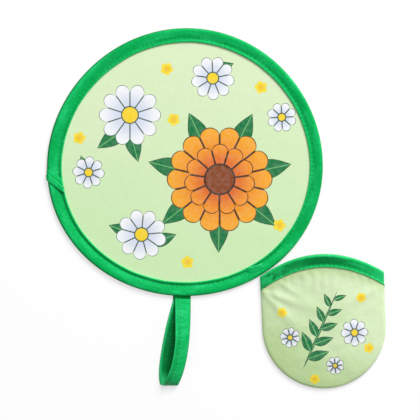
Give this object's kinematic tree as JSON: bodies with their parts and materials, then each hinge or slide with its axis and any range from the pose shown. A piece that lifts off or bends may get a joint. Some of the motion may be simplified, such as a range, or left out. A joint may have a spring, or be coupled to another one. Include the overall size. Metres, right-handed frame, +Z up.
{
  "type": "folding hand fan",
  "caption": "Round spring-hoop hand fan that twists down into a small coil, with a cloth disc in a bound rim, a wrist strap loop and a matching cloth pouch.",
  "frame": {"origin": "on the flat underside of the rim, at the middle of the sector that the strap is sewn to", "axes": "+Y from the strap across the disc, +X to the right towards the pouch, +Z up out of the disc's face"},
  "size_m": [0.295, 0.3134, 0.01],
  "materials": {
    "spring_steel": "flat spring strip",
    "binding_tape": "satin binding tape",
    "disc_cloth": "taut printed nylon",
    "strap_tape": "stitched satin tape",
    "pouch_cloth": "soft printed nylon",
    "mouth_tape": "satin binding tape"
  },
  "bodies": {
    "sector_01": {"hoop_link_01": "spring_steel", "rim_binding_01": "binding_tape", "disc_gore_01": "disc_cloth", "hoop_sleeve": "spring_steel"},
    "sector_02": {"hoop_link_02": "spring_steel", "rim_binding_02": "binding_tape", "disc_gore_02": "disc_cloth"},
    "sector_03": {"hoop_link_03": "spring_steel", "rim_binding_03": "binding_tape", "disc_gore_03": "disc_cloth"},
    "sector_04": {"hoop_link_04": "spring_steel", "rim_binding_04": "binding_tape", "disc_gore_04": "disc_cloth"},
    "sector_05": {"hoop_link_05": "spring_steel", "rim_binding_05": "binding_tape", "disc_gore_05": "disc_cloth"},
    "sector_06": {"hoop_link_06": "spring_steel", "rim_binding_06": "binding_tape", "disc_gore_06": "disc_cloth"},
    "sector_07": {"hoop_link_07": "spring_steel", "rim_binding_07": "binding_tape", "disc_gore_07": "disc_cloth"},
    "sector_08": {"hoop_link_08": "spring_steel", "rim_binding_08": "binding_tape", "disc_gore_08": "disc_cloth"},
    "sector_09": {"hoop_link_09": "spring_steel", "rim_binding_09": "binding_tape", "disc_gore_09": "disc_cloth"},
    "sector_10": {"hoop_link_10": "spring_steel", "rim_binding_10": "binding_tape", "disc_gore_10": "disc_cloth"},
    "sector_11": {"hoop_link_11": "spring_steel", "rim_binding_11": "binding_tape", "disc_gore_11": "disc_cloth"},
    "sector_12": {"hoop_link_12": "spring_steel", "rim_binding_12": "binding_tape", "disc_gore_12": "disc_cloth"},
    "sector_13": {"hoop_link_13": "spring_steel", "rim_binding_13": "binding_tape", "disc_gore_13": "disc_cloth", "binding_lap": "binding_tape"},
    "sector_14": {"hoop_link_14": "spring_steel", "rim_binding_14": "binding_tape", "disc_gore_14": "disc_cloth"},
    "sector_15": {"hoop_link_15": "spring_steel", "rim_binding_15": "binding_tape", "disc_gore_15": "disc_cloth"},
    "strap": {"strap_loop": "strap_tape", "strap_tack": "strap_tape"},
    "pouch": {"pouch_back_panel": "pouch_cloth", "pouch_front_panel": "pouch_cloth", "pouch_seam": "pouch_cloth", "pouch_mouth_tape_back": "mouth_tape", "pouch_mouth_tape_front": "mouth_tape"}
  },
  "joints": [
    {"name": "fold", "type": "hinge", "parent": "sector_01", "child": "sector_02", "pos_m": [0.02456, 0.0013, 0.002], "axis": [0.0328, 0.0062, 0.9994], "range_deg": [0, 48], "stiffness_Nm_per_rad": 0.01, "deforming": ["rim_binding_01", "disc_gore_01", "rim_binding_02", "disc_gore_02", "rim_binding_03", "disc_gore_03", "rim_binding_04", "disc_gore_04", "rim_binding_05", "disc_gore_05", "rim_binding_06", "disc_gore_06", "rim_binding_07", "disc_gore_07", "rim_binding_08", "disc_gore_08", "rim_binding_09", "disc_gore_09", "rim_binding_10", "disc_gore_10", "rim_binding_11", "disc_gore_11", "rim_binding_12", "disc_gore_12", "rim_binding_13", "disc_gore_13", "rim_binding_14", "disc_gore_14", "rim_binding_15", "disc_gore_15"]},
    {"name": "fold_02", "type": "hinge", "parent": "sector_02", "child": "sector_03", "pos_m": [0.07015, 0.01988, 0.002], "axis": [0.0276, 0.0186, 0.9994], "range_deg": [0, 48]},
    {"name": "fold_03", "type": "hinge", "parent": "sector_03", "child": "sector_04", "pos_m": [0.10386, 0.05553, 0.002], "axis": [0.0169, 0.0287, 0.9994], "range_deg": [0, 48]},
    {"name": "fold_04", "type": "hinge", "parent": "sector_04", "child": "sector_05", "pos_m": [0.11852, 0.10166, 0.002], "axis": [0.0028, 0.0332, 0.9994], "range_deg": [0, 48]},
    {"name": "fold_05", "type": "hinge", "parent": "sector_05", "child": "sector_06", "pos_m": [0.11253, 0.14906, 0.002], "axis": [-0.0108, 0.0315, 0.9994], "range_deg": [0, 48]},
    {"name": "fold_06", "type": "hinge", "parent": "sector_06", "child": "sector_07", "pos_m": [0.08835, 0.19034, 0.002], "axis": [-0.0222, 0.0249, 0.9994], "range_deg": [0, 48]},
    {"name": "fold_07", "type": "hinge", "parent": "sector_07", "child": "sector_08", "pos_m": [0.04919, 0.21931, 0.002], "axis": [-0.0303, 0.0138, 0.9994], "range_deg": [0, 48]},
    {"name": "fold_08", "type": "hinge", "parent": "sector_08", "child": "sector_09", "pos_m": [0.00073, 0.22965, 0.002], "axis": [-0.0333, -0.0003, 0.9994], "range_deg": [0, 48]},
    {"name": "fold_09", "type": "hinge", "parent": "sector_09", "child": "sector_10", "pos_m": [-0.04764, 0.21865, 0.002], "axis": [-0.0302, -0.0141, 0.9994], "range_deg": [0, 48]},
    {"name": "fold_10", "type": "hinge", "parent": "sector_10", "child": "sector_11", "pos_m": [-0.08695, 0.18964, 0.002], "axis": [-0.0224, -0.0247, 0.9994], "range_deg": [0, 48]},
    {"name": "fold_11", "type": "hinge", "parent": "sector_11", "child": "sector_12", "pos_m": [-0.11181, 0.14844, 0.002], "axis": [-0.0113, -0.0314, 0.9994], "range_deg": [0, 48]},
    {"name": "fold_12", "type": "hinge", "parent": "sector_12", "child": "sector_13", "pos_m": [-0.11826, 0.10089, 0.002], "axis": [0.0027, -0.0332, 0.9994], "range_deg": [0, 48]},
    {"name": "fold_13", "type": "hinge", "parent": "sector_13", "child": "sector_14", "pos_m": [-0.10349, 0.0549, 0.002], "axis": [0.0171, -0.0286, 0.9994], "range_deg": [0, 48]},
    {"name": "fold_14", "type": "hinge", "parent": "sector_14", "child": "sector_15", "pos_m": [-0.06978, 0.01977, 0.002], "axis": [0.0277, -0.0185, 0.9994], "range_deg": [0, 48]},
    {"name": "strap_swing", "type": "hinge", "parent": "sector_01", "child": "strap", "pos_m": [-0.00224, -0.00385, 0.002], "axis": [-1, 0, 0], "range_deg": [0, 80]},
    {"name": "pouch_clear", "type": "slide", "parent": "sector_01", "child": "pouch", "axis": [1, 0, 0], "range_m": [0, 0.06]}
  ],
  "couplings": [
    {"joint": "fold_02", "follows": "fold", "ratio": 1},
    {"joint": "fold_03", "follows": "fold", "ratio": 1},
    {"joint": "fold_04", "follows": "fold", "ratio": 1},
    {"joint": "fold_05", "follows": "fold", "ratio": 1},
    {"joint": "fold_06", "follows": "fold", "ratio": 1},
    {"joint": "fold_07", "follows": "fold", "ratio": 1},
    {"joint": "fold_08", "follows": "fold", "ratio": 1},
    {"joint": "fold_09", "follows": "fold", "ratio": 1},
    {"joint": "fold_10", "follows": "fold", "ratio": 1},
    {"joint": "fold_11", "follows": "fold", "ratio": 1},
    {"joint": "fold_12", "follows": "fold", "ratio": 1},
    {"joint": "fold_13", "follows": "fold", "ratio": 1},
    {"joint": "fold_14", "follows": "fold", "ratio": 1}
  ]
}
